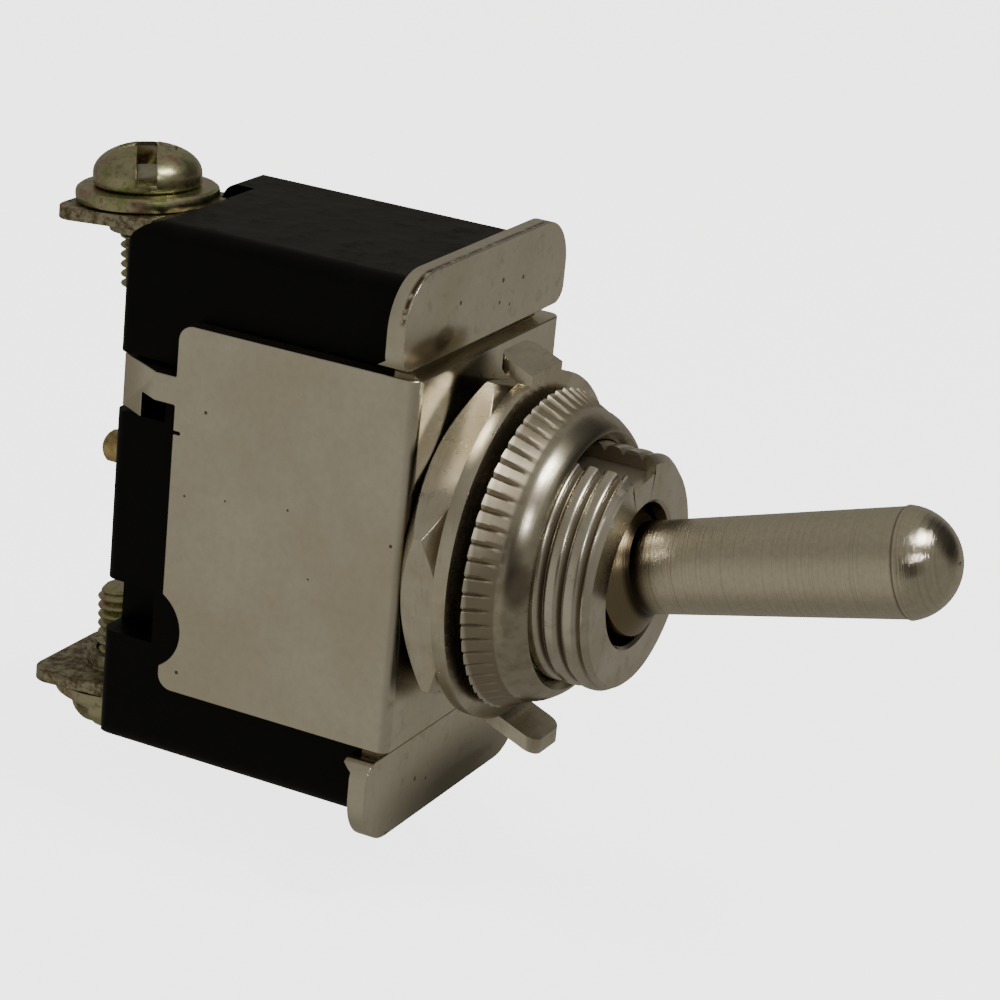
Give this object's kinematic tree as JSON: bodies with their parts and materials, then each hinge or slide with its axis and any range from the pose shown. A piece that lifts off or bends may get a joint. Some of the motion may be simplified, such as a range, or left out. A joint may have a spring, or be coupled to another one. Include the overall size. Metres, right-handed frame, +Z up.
{
  "type": "panel toggle switch",
  "caption": "Panel-mount on-off toggle switch with a bat lever, threaded stem, hexagon nut, keyed locating ring, knurled nut and screw terminals.",
  "frame": {"origin": "on the axis of the threaded stem, at the front face of the bracket that the hexagon nut bears on", "axes": "+Z up the body towards the upper terminal, -Y along the stem towards the lever, +Y towards the terminals, +X to the right seen from the lever"},
  "size_m": [0.0174, 0.0485, 0.0316],
  "materials": {
    "phenolic": "matte black moulding",
    "nickel_sheet": "nickel-plated steel sheet, satin",
    "nickel_turned": "nickel-plated turned brass",
    "nickel_nut": "nickel-plated steel, satin with bright edges",
    "lever_nickel": "satin nickel-plated brass",
    "bare_steel": "plain steel",
    "contact_brass": "plain brass",
    "silver": "silver contact facing",
    "terminal_brass": "tarnished tinned brass",
    "yellow_zinc": "yellow zinc-plated steel"
  },
  "bodies": {
    "frame": {"housing": "phenolic", "cover_plate": "nickel_sheet", "yoke_bracket": "nickel_sheet", "bushing": "nickel_turned", "locating_ring": "nickel_nut", "fulcrum_bracket": "contact_brass", "fulcrum_pin": "bare_steel", "centre_rivet": "contact_brass", "fixed_contact": "silver", "upper_terminal": "terminal_brass", "lower_terminal": "terminal_brass"},
    "lever_body": {"lever": "lever_nickel", "lever_pin": "bare_steel", "plunger_spring": "bare_steel"},
    "plunger_body": {"plunger": "contact_brass"},
    "blade_body": {"contact_blade": "contact_brass", "moving_contact": "silver"},
    "hex_nut_body": {"hex_nut": "nickel_nut"},
    "knurled_nut_body": {"knurled_nut": "nickel_turned"},
    "upper_screw_body": {"upper_screw": "yellow_zinc", "upper_washer": "yellow_zinc"},
    "lower_screw_body": {"lower_screw": "yellow_zinc", "lower_washer": "yellow_zinc"}
  },
  "joints": [
    {"name": "lever_toggle", "type": "hinge", "parent": "frame", "child": "lever_body", "pos_m": [0, -0.0076, 0], "axis": [1, 0, 0], "range_deg": [0, 31]},
    {"name": "plunger_slide", "type": "slide", "parent": "lever_body", "child": "plunger_body", "axis": [0, -0.9636, 0.2672], "range_m": [0, 0.0014], "stiffness_N_per_m": 300, "springref_m": -0.001, "deforming": ["plunger_spring"]},
    {"name": "contact_rock", "type": "hinge", "parent": "frame", "child": "blade_body", "pos_m": [0, 0.0106, 0], "axis": [1, 0, 0], "range_deg": [-18, 0]},
    {"name": "hex_nut_turn", "type": "hinge", "parent": "frame", "child": "hex_nut_body", "pos_m": [0, -0.00115, 0], "axis": [0, -1, 0], "continuous": true},
    {"name": "knurled_nut_turn", "type": "hinge", "parent": "frame", "child": "knurled_nut_body", "pos_m": [0, -0.005, 0], "axis": [0, -1, 0], "continuous": true},
    {"name": "upper_screw_turn", "type": "hinge", "parent": "frame", "child": "upper_screw_body", "pos_m": [0, 0.02, 0.01281], "axis": [0, 0.0785, 0.9969], "continuous": true},
    {"name": "lower_screw_turn", "type": "hinge", "parent": "frame", "child": "lower_screw_body", "pos_m": [0, 0.01975, -0.01298], "axis": [0, -0.0523, -0.9986], "continuous": true}
  ],
  "couplings": [
    {"joint": "contact_rock", "follows": "lever_toggle", "ratio": -0.58064}
  ]
}
